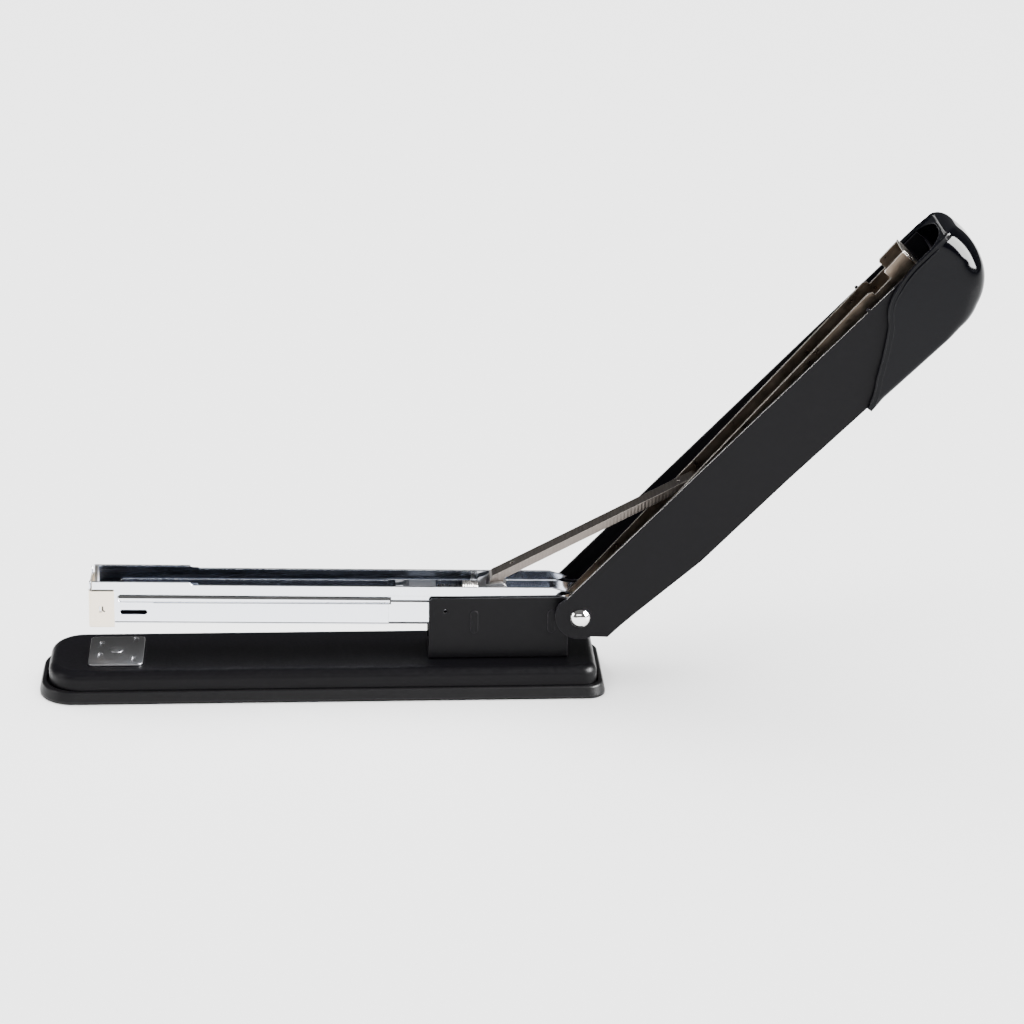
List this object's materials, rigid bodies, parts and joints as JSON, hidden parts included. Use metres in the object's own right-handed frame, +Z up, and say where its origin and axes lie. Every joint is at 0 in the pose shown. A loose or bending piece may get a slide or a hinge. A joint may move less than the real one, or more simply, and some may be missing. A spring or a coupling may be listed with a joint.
{
  "type": "desktop stapler",
  "caption": "Full-strip desktop stapler opened for loading: steel base with turning anvil, open chromed magazine with linked follower, and long lift-up steel handle with a moulded cap.",
  "frame": {"origin": "middle of the base's footprint, on the table", "axes": "+X toward the hinge end, -X toward the stapling end, +Y across, +Z up; stored with the handle folded back for loading"},
  "size_m": [0.327, 0.0394, 0.1702],
  "materials": {
    "black_plastic": "satin moulded",
    "black_paint": "satin black paint",
    "chrome": "bright chrome",
    "nose_steel": "warm satin nickel",
    "zinc_steel": "zinc plated",
    "anvil_steel": "dark nickel",
    "link_nickel": "satin nickel",
    "ram_nickel": "dark nickel",
    "blade_steel": "ground edge",
    "spring_wire": "drawn wire",
    "gloss_black": "gloss black",
    "grey_plastic": "grey moulded",
    "pin_chrome": "polished",
    "rail_steel": "zinc plated"
  },
  "bodies": {
    "base": {"base_pad": "black_plastic", "pad_screws": "zinc_steel", "base_plate": "black_paint", "bracket": "black_paint", "bracket_rivets": "zinc_steel", "lift_spring": "spring_wire", "hinge_pin": "pin_chrome", "pin_washers": "zinc_steel", "anvil_spring": "spring_wire"},
    "anvil_button": {"anvil_stem": "anvil_steel"},
    "anvil": {"anvil_plate": "anvil_steel"},
    "magazine": {"magazine_channel": "chrome", "staple_rail": "rail_steel", "rail_rivets": "zinc_steel", "nose_plate": "nose_steel"},
    "follower": {"pusher": "zinc_steel", "spring_rod": "zinc_steel", "pusher_spring": "spring_wire", "link_carriage": "zinc_steel", "link_pin_lower": "zinc_steel"},
    "link": {"link_bar": "link_nickel", "link_pin_upper": "link_nickel"},
    "handle": {"handle_shell": "black_paint", "handle_cap": "gloss_black", "cap_post": "grey_plastic", "link_anchor": "zinc_steel", "handle_rivets": "zinc_steel", "ram_spring": "spring_wire"},
    "ram": {"ram_channel": "ram_nickel", "driver_blade": "blade_steel", "ram_rivets": "zinc_steel"}
  },
  "joints": [
    {"name": "anvil_lift", "type": "slide", "parent": "base", "child": "anvil_button", "axis": [0, 0, 1], "range_m": [0, 0.0018], "stiffness_N_per_m": 400, "springref_m": -0.003, "deforming": ["anvil_spring"]},
    {"name": "anvil_turn", "type": "hinge", "parent": "anvil_button", "child": "anvil", "pos_m": [-0.073, 0, 0.0117], "axis": [0, 0, 1], "range_deg": [0, 180]},
    {"name": "magazine_press", "type": "hinge", "parent": "base", "child": "magazine", "pos_m": [0.0906, 0, 0.0282], "axis": [0, 1, 0], "range_deg": [-4.2, 0], "stiffness_Nm_per_rad": 9, "springref_deg": 6.88, "deforming": ["lift_spring"]},
    {"name": "handle_open", "type": "hinge", "parent": "magazine", "child": "handle", "pos_m": [0.0906, 0, 0.0282], "axis": [0, 1, 0], "range_deg": [-126, 0]},
    {"name": "follower_slide", "type": "slide", "parent": "magazine", "child": "follower", "axis": [-0.9998, 0, 0.0183], "range_m": [0, 0.102]},
    {"name": "link_pivot", "type": "hinge", "parent": "follower", "child": "link", "pos_m": [0.06124, 0, 0.03594], "axis": [0, 1, 0], "range_deg": [0, 26.9]},
    {"name": "ram_return", "type": "hinge", "parent": "handle", "child": "ram", "pos_m": [0.0906, 0, 0.0282], "axis": [0, 1, 0], "range_deg": [0, 2], "stiffness_Nm_per_rad": 1.2, "springref_deg": -5.73, "deforming": ["ram_spring"]}
  ],
  "couplings": [
    {"joint": "follower_slide", "follows": "handle_open", "m_per_rad": -0.04631},
    {"joint": "link_pivot", "follows": "handle_open", "ratio": -0.20722}
  ]
}
